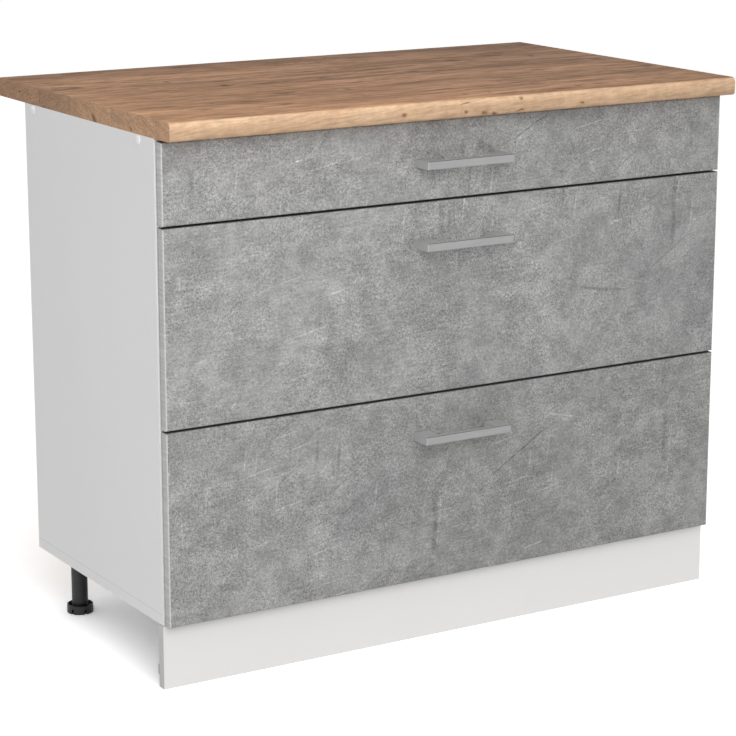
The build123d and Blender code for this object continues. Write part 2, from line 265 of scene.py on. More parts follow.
NOSE_KNOT = (0.26, 0.115, 0.060)
# The end strips lighter at the front and darker at the rear: painted light and shade
END_FRONT_PAINTED_LIGHT = (0.590, 0.352, 0.205)
END_REAR_PAINTED_SHADE = (0.335, 0.190, 0.108)
END_SPECK = (0.20, 0.100, 0.052)
END_KNOT = (0.12, 0.052, 0.026)
HANDLE_GREY = (0.345, 0.345, 0.345)
ZINC_BLUISH = (0.52, 0.53, 0.56)
ZINC_YELLOWISH = (0.60, 0.59, 0.55)
COAT_GREY = (0.60, 0.615, 0.63)
NYLON_WHITE = (0.80, 0.80, 0.77)
PLASTIC_BLACK = (0.013, 0.013, 0.0135)
CAP_WHITE = (0.95, 0.95, 0.945)


def flakes(f):
    """The colour of raw chipboard: pressed flakes with their dust and dark rims."""
    flake = f.cells(f.warped(f.mapped((1, 1, 1.6)), 90, 0.004), 240)
    dust = f.noise(f.place, 900, detail=2)
    tint = f.axes(flake["Color"])[0]
    wood = f.blend(f.ease(tint, 0.1, 0.9), CHIP_DARK, CHIP_PALE)
    rim = f.ease(flake["Distance"], 0.35, 0.8, 1, 0.6)
    return f.shade(wood, f.product(f.swing(dust, 0.25), rim))


SEAM_HALF = 1.3 * MM
SEAM_SHADE = 0.16


def white_board(name, tone, warm=NEUTRAL, raw_from_y=None, seam_z=None, painted_end_shade=None):
    """White melamine with its fine pearl, raw chipboard on the edge that nothing covers, the faint
    line where a side stands on the bottom panel, and ends darkened by a painted shade."""
    f = Finish(name, Specular_IOR_Level=0.35)
    pearl = f.noise(f.place, 1400, detail=2)
    drift = f.noise(f.place, 2.2, detail=2)
    white = tuple(tone * share for share in warm)
    colour = f.shade(white, f.product(f.swing(pearl, 0.012), f.swing(drift, 0.012)))
    rough = f.ease(f.noise(f.place, 60, detail=3), 0.3, 0.7, 0.42, 0.52)
    height = pearl
    if raw_from_y is not None:
        raw = f.product(f.facing(Y, 1), f.math("GREATER_THAN", f.axes()[Y], raw_from_y))
        colour = f.blend(raw, colour, flakes(f))
        rough = f.total(rough, f.product(raw, 0.35))
        coarse = f.noise(f.place, 500, detail=3)
        height = f.math("MULTIPLY_ADD", raw, f.product(coarse, 6), pearl)
    if seam_z is not None:
        seam = f.product(f.line(f.axes()[Z], SEAM_HALF, seam_z), f.facing_either(X, 0.5, 0.9))
        colour = f.shade(colour, f.math("MULTIPLY_ADD", seam, -SEAM_SHADE, 1.0))
    if painted_end_shade is not None:
        # Faces that look sideways darkened: painted shade
        colour = f.shade(colour, f.facing_either(X, 0.5, 0.9, 1.0, painted_end_shade))
    f.give("Base Color", colour)
    f.give("Roughness", rough)
    f.bump(height, 0.04 * MM, 0.6)
    return f.material


def scratches(f, place, lean, long, thin, share):
    """Thin straight lines that rise by an angle to the right, each fading out at both ends."""
    turned = f.warped(f.mapped(turn=(0, 0, -lean), of=place), 3, 0.008)
    lines = f.cells(f.mapped((1 / long, 1 / thin, 1), of=turned), 1.0, dimensions="2D")
    chosen = f.math("GREATER_THAN", f.axes(lines["Color"])[0], 1 - share)
    return f.product(f.ease(lines["Distance"], 0.03, 0.09, 1, 0), chosen)


# Single strokes of each front's print, in mm: x and z of both ends, half width, and how much
# lighter or darker they are. One of the top front's is a painted shadow above the handle
STROKES = {
    "top": (
        (90, 772, 165, 812, 1.3, -0.45),
        (-359, 719, -279, 756, 1.1, -0.25),
        (-210, 762, -150, 776, 1.3, 0.22),
        (441, 782, 441, 735, 5.0, -0.16),
        (-452, 775, -452, 715, 7.0, -0.12),
        (-108, 740, -82, 764, 12.0, 0.16),
        (308, 780, 338, 745, 5.0, 0.16),
        # Painted shadow of the handle, above its right end
        (30, 778, 70, 756, 10.0, -0.16),
        (240, 732, 250, 712, 8.0, 0.22),
        (120, 750, 190, 745, 14.0, 0.06),
    ),
    "middle": (
        (-472, 642, -473, 598, 1.4, 0.26),
        (-455, 612, -418, 595, 1.2, 0.20),
        (-30, 694, -30, 636, 8.0, -0.17),
        (-5, 692, -5, 652, 1.4, 0.20),
        (268, 625, 372, 652, 1.3, 0.18),
        (365, 655, 402, 572, 1.4, 0.16),
        (411, 696, 408, 575, 7.0, -0.18),
        (417, 682, 415, 648, 1.6, 0.26),
        (70, 546, 92, 532, 2.0, 0.26),
        (90, 532, 135, 551, 1.6, 0.20),
        (222, 532, 318, 519, 4.0, -0.22),
        (296, 541, 366, 524, 1.3, 0.20),
        (-290, 486, -170, 484, 20.0, -0.10),
    ),
    "bottom": (
        (60, 246, 175, 317, 1.4, -0.42),
        (168, 336, 240, 320, 1.5, 0.30),
        (186, 331, 335, 259, 1.2, 0.20),
        (-27, 233, -35, 146, 1.6, 0.26),
        (-38, 245, -40, 140, 7.0, -0.20),
        (404, 312, 403, 216, 7.0, -0.18),
        (419, 288, 415, 248, 1.6, 0.28),
        (-477, 280, -474, 212, 1.4, 0.26),
        (-454, 219, -400, 200, 1.2, 0.18),
        (-192, 268, -86, 282, 1.2, 0.16),
        (383, 258, 447, 139, 1.3, 0.18),
        (-420, 150, -372, 142, 9.0, -0.18),
        (-72, 378, -58, 340, 3.5, 0.20),
    ),
}
# How far the print moves on from one front to the next, how light it is, and how much of that is
# left at its right end: the bottom front's lower lightness and the darkening to the right are
# painted shade, for light that falls off downwards and to the right
PRINT_STEP = (0.37, 0.71, 1.3)
PRINT_LEVEL_PAINTED_SHADE = {"top": 0.99, "middle": 0.99, "bottom": 0.92}
RIGHT_PAINTED_SHADE = 0.86
# The depths at which the upright edging turns dark, next to the drawer, and pale, at the arris: a
# painted shade in the gap behind the front and a painted highlight on the rounded arris
EDGING_PAINTED_SHADE_FROM = -252 * MM
EDGING_PAINTED_HIGHLIGHT_TO = -264.6 * MM


def concrete_tone(f, place, x, share):
    """The print as a factor about one: clouds, torn and scraped patches, brush marks and speckle,
    and painted shade towards the right. Also its grain, its pebbles and its patches."""
    clouds = f.noise(place, 3.6, detail=5, roughness=0.6)
    patches = f.noise(f.warped(place, 20, 0.02), 19, detail=6, roughness=0.7)
    torn = f.noise(f.warped(place, 22, 0.030), 13, detail=6, roughness=0.72)
    scraped = f.noise(f.warped(place, 60, 0.012), 38, detail=5, roughness=0.7)
    coarse = f.noise(f.warped(place, 25, 0.02), 9, detail=5, roughness=0.65)
    rough_areas = f.ease(coarse, 0.42, 0.56, 0.72, 1.1)
    crumbs = f.warped(place, 170, 0.004)
    grain = f.noise(crumbs, 230, detail=4, roughness=0.75)
    pebbles = f.noise(crumbs, 560, detail=2)
    brushed = f.mapped(turn=(0, 0, -4), of=place)
    brush = f.noise(f.mapped((26, 330, 1), of=brushed), 1.0, detail=4, roughness=0.65)
    brush_areas = f.ease(f.noise(place, 8, detail=3), 0.44, 0.60, 0.25, 1.0)
    speckle = f.total(
        f.ease(grain, 0.30, 0.70, -0.27, 0.27),
        f.ease(pebbles, 0.25, 0.75, -0.30, 0.30),
    )
    tone = f.product(
        f.swing(clouds, 0.10),
        f.swing(patches, 0.11),
        f.ease(torn, 0.47, 0.53, 0.955, 1.045),
        f.ease(scraped, 0.46, 0.54, 0.945, 1.055),
        f.math("MULTIPLY_ADD", f.ease(brush, 0.30, 0.70, -0.12, 0.12), brush_areas, 1.0),
        f.math("MULTIPLY_ADD", speckle, rough_areas, 1.0),
        # Darker towards the right: painted shade for light that falls off
        f.ease(x, -0.3, 0.5, share, RIGHT_PAINTED_SHADE * share),
    )
    return tone, grain, pebbles, patches


def concrete_marks(f, place, flat, strokes):
    """Specks, flecks, curls, scratches, stains and the drawn strokes, as a factor about one.
    Also the flecks."""
    mood = f.noise(place, 6.5, detail=3)
    gathered = f.ease(mood, 0.40, 0.58, 0.10, 1.0)
    speck = f.product(f.ease(f.noise(place, 300, detail=1), 0.66, 0.74), gathered)
    flaked = f.noise(place, 110, detail=4, roughness=0.7)
    fleck = f.product(f.ease(flaked, 0.60, 0.68), gathered)
    curl = f.product(
        f.line(f.noise(place, 40, detail=3, distortion=1.2), 0.012),
        f.ease(f.noise(place, 17, detail=1), 0.50, 0.62),
    )
    pale_lines = f.total(
        scratches(f, place, 12, 0.42, 0.018, 0.30),
        scratches(f, place, 84, 0.36, 0.020, 0.22),
    )
    dark_lines = f.total(
        scratches(f, place, 33, 0.70, 0.014, 0.16),
        scratches(f, place, 86, 0.36, 0.040, 0.16),
    )
    damp = f.noise(place, 19, detail=4, roughness=0.65)
    stain = f.product(f.ease(damp, 0.56, 0.72), f.ease(mood, 0.56, 0.40))
    wavy = f.warped(flat, 70, 0.004)
    drawn = f.total(*(
        f.product(f.stroke((x0 * MM, z0 * MM), (x1 * MM, z1 * MM), half * MM, wavy), strength)
        for x0, z0, x1, z1, half, strength in strokes
    ))
    marks = f.total(
        1.0,
        f.product(speck, 0.50),
        f.product(fleck, 0.24),
        f.product(curl, 0.30),
        f.product(pale_lines, 0.32),
        f.product(dark_lines, -0.24),
        f.product(stain, -0.18),
        f.product(drawn, f.ease(f.noise(place, 55, detail=3), 0.32, 0.58, 0.45, 1.45)),
    )
    return marks, fleck


def concrete(name, shift, strokes, share):
    """The cast-concrete print of a drawer front, with grey edging and a white back; painted shade
    on the edging next to the drawer, on the top and bottom edges and towards the right, and a
    painted highlight at the arris.
    """
    f = Finish(name, Specular_IOR_Level=0.25)
    x, y, z = f.axes()
    flat = f.vector(x, z, 0.0)
    place = f.mapped(shift=shift, of=flat)
    tone, grain, pebbles, patches = concrete_tone(f, place, x, share)
    marks, fleck = concrete_marks(f, place, flat, strokes)
    hue = f.ease(f.noise(place, 5, detail=2), 0.35, 0.65)
    tint = f.blend(hue, CONCRETE_GREENISH, CONCRETE_REDDISH)
    face = f.shade(tint, f.product(tone, marks))
    # The edging darker next to the drawer is painted shade, and paler at the arris a painted
    # highlight
    edging_tone_with_painted_light = f.total(
        f.ease(y, EDGING_PAINTED_SHADE_FROM - 2 * MM, EDGING_PAINTED_SHADE_FROM, 0.56, 0.40),
        f.ease(y, EDGING_PAINTED_HIGHLIGHT_TO - MM, EDGING_PAINTED_HIGHLIGHT_TO, 0.14, 0.0),
    )
    grey = f.shade(FRONT_EDGING, f.swing(grain, 0.12))
    colour = f.blend(f.facing_either(X, 0.15, 0.45), face, f.shade(grey, edging_tone_with_painted_light))
    # Dark top and bottom edges: painted shade standing in for the shade in the gaps between the
    # fronts
    colour = f.blend(f.facing_either(Z, 0.80, 0.97), colour, f.shade(grey, 0.12))
    back = f.shade(FRONT_BACK, f.swing(pebbles, 0.01))
    f.give("Base Color", f.blend(f.facing(Y, 1), colour, back))
    f.give("Roughness", f.ease(patches, 0.3, 0.7, 0.6, 0.75))
    f.bump(f.total(grain, f.product(fleck, 0.6)), 0.10 * MM, 0.5)
    return f.material


def oak_tone(f, along, across, high):
    """Oak as a factor about one, its grain running along the first coordinate. Also its dark
    streaks and its pores."""
    grain_place = f.warped(f.vector(along, across, high), 2.6, 0.060)
    grain_place = f.warped(grain_place, 11, 0.010)
    broad = f.noise(f.mapped((1.6, 14, 14), of=grain_place), 1.0, detail=4, roughness=0.6)
    streaks = f.noise(f.mapped((5, 52, 52), of=grain_place), 1.0, detail=5, roughness=0.68)
    rings = f.math("SINE", f.product(broad, 70))
    fibres = f.noise(f.mapped((16, 320, 320), of=grain_place), 1.0, detail=4, roughness=0.7)
    pores = f.noise(f.mapped((55, 1300, 1300), of=grain_place), 1.0, detail=2)
    tone = f.product(
        f.swing(broad, 0.18),
        f.swing(streaks, 0.28),
        f.math("MULTIPLY_ADD", rings, 0.06, 1.0),
        f.swing(fibres, 0.34),
        f.swing(pores, 0.06),
    )
    dark = f.noise(f.mapped((9, 44, 44), of=grain_place), 1.0, detail=5, roughness=0.65)
    return tone, f.ease(dark, 0.56, 0.70), pores


# Knots and short cracks of the worktop's print, in mm: x, y, half length, half width and lean
TOP_KNOTS = (
    (-450, 118, 24, 15, -50),
    (-298, 112, 8, 19, -10),
    (-385, 155, 26, 10, 0),
    (-350, 138, 30, 9, 0),
    (-115, 174, 90, 9, -8),
    (-65, 118, 70, 8, -10),
    (-240, 25, 14, 22, 0),
    (-165, 20, 60, 12, 6),
    (-60, 35, 26, 13, 20),
    (105, 32, 20, 15, 20),
    (-205, -102, 30, 16, 0),
    (-103, -112, 9, 20, -10),
    (-405, -55, 38, 8, -8),
    (-300, -156, 40, 10, 0),
    (-430, -150, 60, 8, 0),
    (-265, -208, 22, 12, 20),
    (-395, -200, 28, 12, 0),
    (240, 124, 22, 22, -50),
    (395, 118, 9, 18, -10),
    (330, 150, 44, 12, 0),
    (460, 20, 22, 18, 30),
    (290, -50, 52, 9, -8),
    (405, -150, 30, 9, 0),
    (425, -205, 22, 12, 0),
    (480, -100, 20, 24, 0),
    (185, -272, 44, 7, 0),
    (20, -252, 8, 12, 0),
    (65, -250, 6, 10, 0),
    (225, -250, 10, 12, 0),
)
# The print's staves: how far back each begins, in mm, and its tone next to the one before
STAVES = (
    (-232, 0.90),
    (-170, 0.90),
    (-136, 1.05),
    (2, 0.86),
    (96, 1.05),
    (240, 0.80),
)
STAVE_FADE = 6
# The depth over which the front edge's look turns into the top's
NOSE_TURN = 5 * MM
# Knots along the front edge: x, z, half length, half height and lean
NOSE_KNOTS = (
    (-117, 829, 9, 4, 10),
    (-10, 841, 14, 1.6, 8),
    (-8, 830, 6, 4, 0),
    (24, 824, 8, 5, 0),
    (42, 824, 8, 4, 0),
    (90, 842, 5, 6, -60),
    (88, 824, 12, 3, 0),
    (202, 827, 8, 3.5, 0),
)
# And along the left end: y, z, half length, half height and lean
END_KNOTS = (
    (-53, 827, 12, 7, 30),
    (127, 821, 7, 5, 0),
    (170, 821, 7, 5, 0),
    (216, 834, 6, 2, 0),
    (-176, 825, 9, 3, 20),
)


def drawn_knots(f, knots, plane):
    """The darkness of a list of knots in a plane, their outlines wavy and frayed."""
    wavy = f.warped(f.warped(plane, 45, 0.010), 160, 0.004)
    return f.total(*(
        f.spot((along * MM, across * MM), (long * MM, wide * MM), lean, wavy)
        for along, across, long, wide, lean in knots
    ))


def blocks_along(f, uneven, scale):
    """Blocks along a coordinate: the random numbers of each, and the way to its nearest end."""
    numbers = f.axes(f.cells(uneven, scale, dimensions="1D")["Color"])
    return numbers, f.cells(uneven, scale, "DISTANCE_TO_EDGE", "1D")["Distance"]


def oak_top(f, x, y, tone, dark):
    """The top's colour: staves, fine dark cracks along the grain, knots, and painted shade towards
    the right.
    """
    waver = f.ease(f.noise(f.vector(x, 0.0, 0.0), 7, detail=3), 0.3, 0.7, -0.008, 0.008)
    wavering = f.total(y, waver)
    staves = [
        f.ease(wavering, (begin - STAVE_FADE) * MM, (begin + STAVE_FADE) * MM, 1, share)
        for begin, share in STAVES
    ]
    # Darker towards the right: painted shade for light that falls off
    level = f.product(*staves, f.ease(x, -0.45, 0.5, 1.10, 0.82))
    brown = f.blend(dark, OAK_BROWN, OAK_STREAK)
    crack_place = f.warped(f.mapped((18, 210, 1)), 0.8, 0.9)
    cracks = f.ease(f.noise(crack_place, 1.0, detail=3, roughness=0.6), 0.62, 0.72)
    crack_areas = f.ease(f.noise(f.mapped((3, 9, 1)), 1.0, detail=3), 0.45, 0.60)
    brown = f.blend(f.product(cracks, crack_areas, 0.62), brown, OAK_CRACK)
    knots = drawn_knots(f, TOP_KNOTS, f.vector(x, y, 0.0))
    knots = f.product(knots, f.ease(dark, 0, 0.6, 0.75, 1.0))
    brown = f.blend(f.math("MINIMUM", knots, 0.80), brown, OAK_KNOT)
    return f.shade(brown, f.product(tone, level))


def oak_nose(f, x, z, low_z, high_z):
    """The front edge's colour: fine leaning fibres, staves that end here and there, knots, painted
    shade towards the right and the bottom, and a painted highlight along the top.
    """
    slant = f.warped(f.warped(f.mapped(turn=(0, 4, 0)), 7, 0.012), 30, 0.003)
    fine = f.noise(f.mapped((30, 30, 320), of=slant), 1.0, detail=5, roughness=0.72)
    wide = f.noise(f.mapped((9, 9, 90), of=slant), 1.0, detail=4)
    blotch = f.noise(f.vector(x, z, 0.0), 60, detail=4, roughness=0.65)
    uneven = f.total(x, f.product(f.noise(f.vector(x, 0.0, 0.0), 4, detail=2), 0.30))
    numbers, to_end = blocks_along(f, uneven, 6.5)
    pale = f.blend(f.ease(wide, 0.35, 0.70), NOSE_PALE, NOSE_DARK)
    knots = f.math("MINIMUM", drawn_knots(f, NOSE_KNOTS, f.vector(x, z, 0.0)), 0.85)
    pale = f.blend(knots, pale, NOSE_KNOT)
    tone = f.product(
        f.swing(fine, 0.17),
        f.swing(blotch, 0.08),
        f.ease(numbers[0], 0, 1, 0.97, 1.03),
        f.ease(to_end, 0.0, 0.010, 0.93, 1),
        # Darker towards the right: painted shade
        f.ease(x, -0.5, 0.5, 1.02, 0.86),
        # Darker at the bottom and lighter at the top of the rounded edge: painted shade and painted
        # highlight
        f.ease(z, low_z + 2 * MM, high_z - 2 * MM, 0.78, 1.12),
    )
    return f.shade(pale, tone)


def oak(nose_start, low_z, high_z):
    """The worktop's printed oak: brown on top, paler where it turns down over the front edge."""
    f = Finish("oak_laminate", Specular_IOR_Level=0.08)
    x, y, z = f.axes()
    tone, dark, pores = oak_tone(f, x, y, z)
    top = oak_top(f, x, y, tone, dark)
    nose = oak_nose(f, x, z, low_z, high_z)
    over = f.ease(y, nose_start, nose_start + NOSE_TURN, 1, 0)
    f.give("Base Color", f.blend(over, top, nose))
    f.give("Roughness", f.ease(tone, 0.8, 1.2, 0.62, 0.52))
    f.bump(f.total(pores, f.product(dark, -0.5)), 0.08 * MM, 0.5)
    return f.material


def oak_ends():
    """The strips on the worktop's ends: a few blocks whose fibres lean this way and that, lighter
    towards the front and darker towards the rear as painted light and shade.
    """
    f = Finish("oak_end_strip", Specular_IOR_Level=0.2)
    x, y, z = f.axes()
    uneven = f.total(y, f.product(f.noise(f.vector(0.0, y, 0.0), 5, detail=2), 0.16))
    numbers, to_end = blocks_along(f, uneven, 9)
    lean = f.ease(numbers[1], 0.40, 0.60, -0.30, 0.25)
    across = f.math("MULTIPLY_ADD", y, lean, z)
    place = f.warped(f.warped(f.vector(x, y, across), 14, 0.016), 60, 0.004)
    fibres = f.noise(f.mapped((60, 60, 420), of=place), 1.0, detail=5, roughness=0.75)
    bands = f.noise(f.mapped((20, 26, 110), of=place), 1.0, detail=4)
    pores = f.noise(f.mapped((260, 260, 900), of=place), 1.0, detail=3, roughness=0.7)
    specks = f.ease(f.noise(f.mapped((150, 110, 260)), 1.0, detail=3), 0.60, 0.72)
    # Lighter at the front, darker at the rear: painted light and shade
    wood = f.blend(f.ease(y, -0.29, 0.25), END_FRONT_PAINTED_LIGHT, END_REAR_PAINTED_SHADE)
    wood = f.blend(f.product(specks, 0.55), wood, END_SPECK)
    knots = f.math("MINIMUM", drawn_knots(f, END_KNOTS, f.vector(y, z, 0.0)), 0.85)
    wood = f.blend(knots, wood, END_KNOT)
    tone = f.product(
        f.ease(numbers[0], 0, 1, 0.90, 1.08),
        f.swing(fibres, 0.26),
        f.swing(bands, 0.12),
        f.swing(pores, 0.20),
        f.ease(to_end, 0.0, 0.014, 0.76, 1),
    )
    f.give("Base Color", f.shade(wood, tone))
    f.give("Roughness", f.ease(fibres, 0.3, 0.7, 0.5, 0.6))
    f.bump(fibres, 0.06 * MM, 0.5)
    return f.material


def chipboard():
    """The worktop's core: raw flakes at the rear edge, brown backing paper underneath."""
    f = Finish("chipboard", Roughness=0.85, Specular_IOR_Level=0.2)
    paper_grain = f.noise(f.place, 320, detail=4, roughness=0.7)
    brown = f.blend(f.ease(paper_grain, 0.35, 0.65), BACKING_DARK, BACKING_PALE)
    under = f.facing(Z, -1)
    f.give("Base Color", f.blend(under, flakes(f), brown))
    coarse = f.noise(f.place, 420, detail=3)
    f.bump(f.product(coarse, f.ease(under, 0, 1, 1, 0.2)), 0.2 * MM, 0.6)
    return f.material


# Radians a metre, for a mesh of 2.4 mm
MESH_RATE = 2600


def hardboard():
    """Hardboard: painted white towards the inside, brown fibre and its mesh mark outside."""
    f = Finish("hardboard", Specular_IOR_Level=0.25)
    fibre = f.noise(f.mapped((1, 1, 0.7)), 260, detail=4, roughness=0.7)
    brown = f.blend(f.ease(fibre, 0.35, 0.65), HARDBOARD_DARK, HARDBOARD_PALE)
    outside = f.facing(Y, 1, 0.6)
    white = f.shade(HARDBOARD_WHITE, f.swing(fibre, 0.012))
    x, _, z = f.axes()
    waves = [f.math("SINE", f.product(along, MESH_RATE)) for along in (x, z)]
    relief = f.total(fibre, f.product(*waves))
    f.give("Base Color", f.blend(outside, white, brown))
    f.give("Roughness", f.ease(outside, 0, 1, 0.45, 0.8))
    f.bump(f.product(relief, f.ease(outside, 0, 1, 0.15, 1)), 0.1 * MM, 0.5)
    return f.material


def handle_metal():
    """Satin handle bar brushed along X, with painted light: painted shade on the arrises above, a
    painted highlight on the arris at the left, and its sides and top painted lighter.
    """
    f = Finish("handle_metal", Metallic=0.12)
    lines = f.noise(f.mapped((12.0, 900.0, 900.0)), 1.0, detail=3, roughness=0.6)
    smear = f.noise(f.place, 40, detail=3)
    nx, ny, nz = f.axes(f.normal)
    # Painted light by facing: shade on the upper front arris, highlight on the left front arris,
    # sides and top lighter
    forward = f.ease(f.product(ny, -1.0), 0.30, 0.50)
    above = f.product(f.ease(nz, 0.40, 0.60), forward)
    left = f.product(f.ease(f.product(nx, -1.0), 0.40, 0.60), forward)
    side = f.ease(f.math("ABSOLUTE", nx), 0.85, 0.95)
    painted_light_top = f.ease(nz, 0.85, 0.95)
    tone = f.total(
        1.0,
        f.product(above, -0.75),
        f.product(left, 0.60),
        f.product(side, 0.42),
        f.product(painted_light_top, 0.30),
    )
    brushed = f.product(tone, f.swing(lines, 0.06), f.swing(smear, 0.03))
    f.give("Base Color", f.shade(HANDLE_GREY, brushed))
    f.give("Roughness", f.ease(lines, 0.3, 0.7, 0.41, 0.52))
    f.bump(lines, 0.02 * MM, 0.4)
    return f.material


def spangled_zinc():
    """Zinc plate with its faint bluish and yellowish patches."""
    f = Finish("zinc_steel", Metallic=0.9)
    patches = f.noise(f.place, 75, detail=3, roughness=0.6)
    colour = f.blend(f.ease(patches, 0.35, 0.65), ZINC_BLUISH, ZINC_YELLOWISH)
    fine = f.noise(f.place, 700, detail=2)
    f.give("Base Color", f.shade(colour, f.swing(fine, 0.05)))
    f.give("Roughness", f.ease(patches, 0.3, 0.7, 0.30, 0.42))
    f.bump(fine, 0.02 * MM, 0.5)
    return f.material


def coated_steel():
    """Light grey powder coat with its orange-peel surface."""
    f = Finish("coated_steel", Specular_IOR_Level=0.5)
    peel = f.noise(f.place, 620, detail=2, roughness=0.5)
    drift = f.noise(f.place, 12, detail=3)
    uneven = f.product(f.swing(peel, 0.02), f.swing(drift, 0.02))
    f.give("Base Color", f.shade(COAT_GREY, uneven))
    f.give("Roughness", f.ease(drift, 0.3, 0.7, 0.34, 0.44))
    f.bump(peel, 0.06 * MM, 0.5)
    return f.material


def moulded_plastic(name, base, rough, fineness, relief):
    """Moulded plastic with a fine spark-eroded texture, and scuffs that shine a little."""
    f = Finish(name, Specular_IOR_Level=0.45)
    grain = f.noise(f.place, fineness, detail=2)
    scuffs = f.noise(f.mapped((1, 1, 3)), 55, detail=4, roughness=0.7)
    f.give("Base Color", f.shade(base, f.product(f.swing(grain, 0.08), f.swing(scuffs, 0.08))))
    f.give("Roughness", f.ease(scuffs, 0.35, 0.7, rough, rough - 0.12))
    f.bump(grain, relief, 0.6)
    return f.material


def paint(names, material):
    """Gives CAD nodes a material."""
    for name in names:
        slots = frame["nodes"][name].data.materials
        slots.clear()
        slots.append(material)


# How near the carcass's back a face that looks backwards counts as a raw rear edge, and how far
# behind the worktop's front the print starts to turn into the top's
RAW_DEPTH = 0.5 * MM
NOSE_DEPTH = 2 * MM
worktop_low, worktop_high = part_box("worktop_laminate")
bottom_low, bottom_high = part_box("bottom_panel")
rear_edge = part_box("side_panel_left")[1].y - RAW_DEPTH

white = white_board("white_board", tone=0.862, raw_from_y=rear_edge, seam_z=bottom_high.z)
edging = white_board("white_edging", tone=0.96)
# The plinth's ends darkened by a painted shade
plinth_white_painted_ends = white_board("plinth_white_painted_ends", tone=0.89, warm=PLINTH_WARMTH, painted_end_shade=0.66)
steel_coat = coated_steel()
zinc = spangled_zinc()
nylon = moulded_plastic("roller_plastic", NYLON_WHITE, rough=0.42, fineness=900, relief=0.03 * MM)
black = moulded_plastic("black_plastic", PLASTIC_BLACK, rough=0.55, fineness=800, relief=0.06 * MM)
cap_white = moulded_plastic("cap_plastic", CAP_WHITE, rough=0.38, fineness=900, relief=0.02 * MM)
metal = handle_metal()

paint(["side_panel_left", "side_panel_right", "bottom_panel"], white)
paint(["front_top_rail", "rear_top_rail"], white)
paint([f"drawer_{part}_{level}" for part in ("base", "back") for level in LEVELS], white)
paint(["plinth_board"], plinth_white_painted_ends)
paint(["side_edge_bands", "cross_edge_bands"], edging)
paint(["back_panel"], hardboard())
paint(["worktop_laminate"], oak(worktop_low.y + NOSE_DEPTH, worktop_low.z, worktop_high.z))
paint(["worktop_edge_strips"], oak_ends())
paint(["worktop_core"], chipboard())
paint([f"{end}_rollers_{level}" for end in ("front", "rear") for level in LEVELS], nylon)
paint(["leg_bodies", "plinth_clips"], black)
paint(["gallery_rails_middle", "gallery_rails_bottom"], steel_coat)
for index, level in enumerate(LEVELS):
    shift = [step * index for step in PRINT_STEP]
    front_print_painted_light = concrete(f"concrete_{level}", shift, STROKES[level], PRINT_LEVEL_PAINTED_SHADE[level])
    paint([f"drawer_front_{level}"], front_print_painted_light)
    paint([f"handle_{level}"], metal)
    paint([f"front_brackets_{level}"], zinc)
    for word in SIDES:
        paint([f"cabinet_rail_{level}_{word}", f"drawer_side_{level}_{word}"], steel_coat)

# --- Pieces in mesh code -----------------------------------------------------------------

SHARP_ANGLE = 32


def finished_piece(name, bm, material, body):
    """Makes an object of a mesh, smooth but for its sharp edges, and lets it ride on a body."""
    bmesh.ops.recalc_face_normals(bm, faces=bm.faces)
    mesh = bpy.data.meshes.new(name)
    bm.to_mesh(mesh)
    bm.free()
    mesh.polygons.foreach_set("use_smooth", [True] * len(mesh.polygons))
    mesh.set_sharp_from_angle(angle=math.radians(SHARP_ANGLE))
    mesh.materials.append(material)
    piece = bpy.data.objects.new(name, mesh)
    bpy.context.scene.collection.objects.link(piece)
    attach(piece, body)
    return piece


def polar(radius, turn, height):
    """The point at a distance from the Z axis, a turn about it and a height."""
    return Vector((radius * math.cos(turn), radius * math.sin(turn), height))


def ring(bm, radius, height, segments, place):
    """A circle of vertices, or one vertex where the radius is nought."""
    if radius == 0:
        return [bm.verts.new(place @ Vector((0, 0, height)))]
    turns = [2 * math.pi * step / segments for step in range(segments)]
    return [bm.verts.new(place @ polar(radius, turn, height)) for turn in turns]


def bridge(bm, first, second):
    """Faces between two rings, either of which may be a single vertex."""
    count = max(len(first), len(second))
    for step in range(count):
        after = (step + 1) % count
        corners = [first[step % len(first)], first[after % len(first)]]
        corners += [second[after % len(second)], second[step % len(second)]]
        bm.faces.new(list(dict.fromkeys(corners)))


def lathe(bm, profile, segments, place):
    """A closed body of revolution about Z, whose (radius, height) points start and end on it."""
    rings = [ring(bm, radius, height, segments, place) for radius, height in profile]
    for first, second in zip(rings, rings[1:]):
        bridge(bm, first, second)


def toward(point, axis, sign):
    """The place of a thing that stands on a surface at a point and looks along an axis."""
    direction = Vector([sign if index == axis else 0 for index in range(3)])
    return Matrix.Translation(point) @ direction.to_track_quat("Z", "Y").to_matrix().to_4x4()


def between(low, high, shares):
    """The places at some shares of the way from low to high."""
    return [low + share * (high - low) for share in shares]


# A pan head and its cross recess, in shares of the head's radius and height
HEAD_PROFILE = ((1.0, 0.0), (1.0, 0.30), (0.93, 0.62), (0.78, 0.88), (0.56, 1.0))
HEAD_SEGMENTS = 24
CROSS_ARM = 0.42
CROSS_HALF_WIDTH = 0.11
CROSS_TAPER = 0.6
CROSS_FLOOR = 0.25


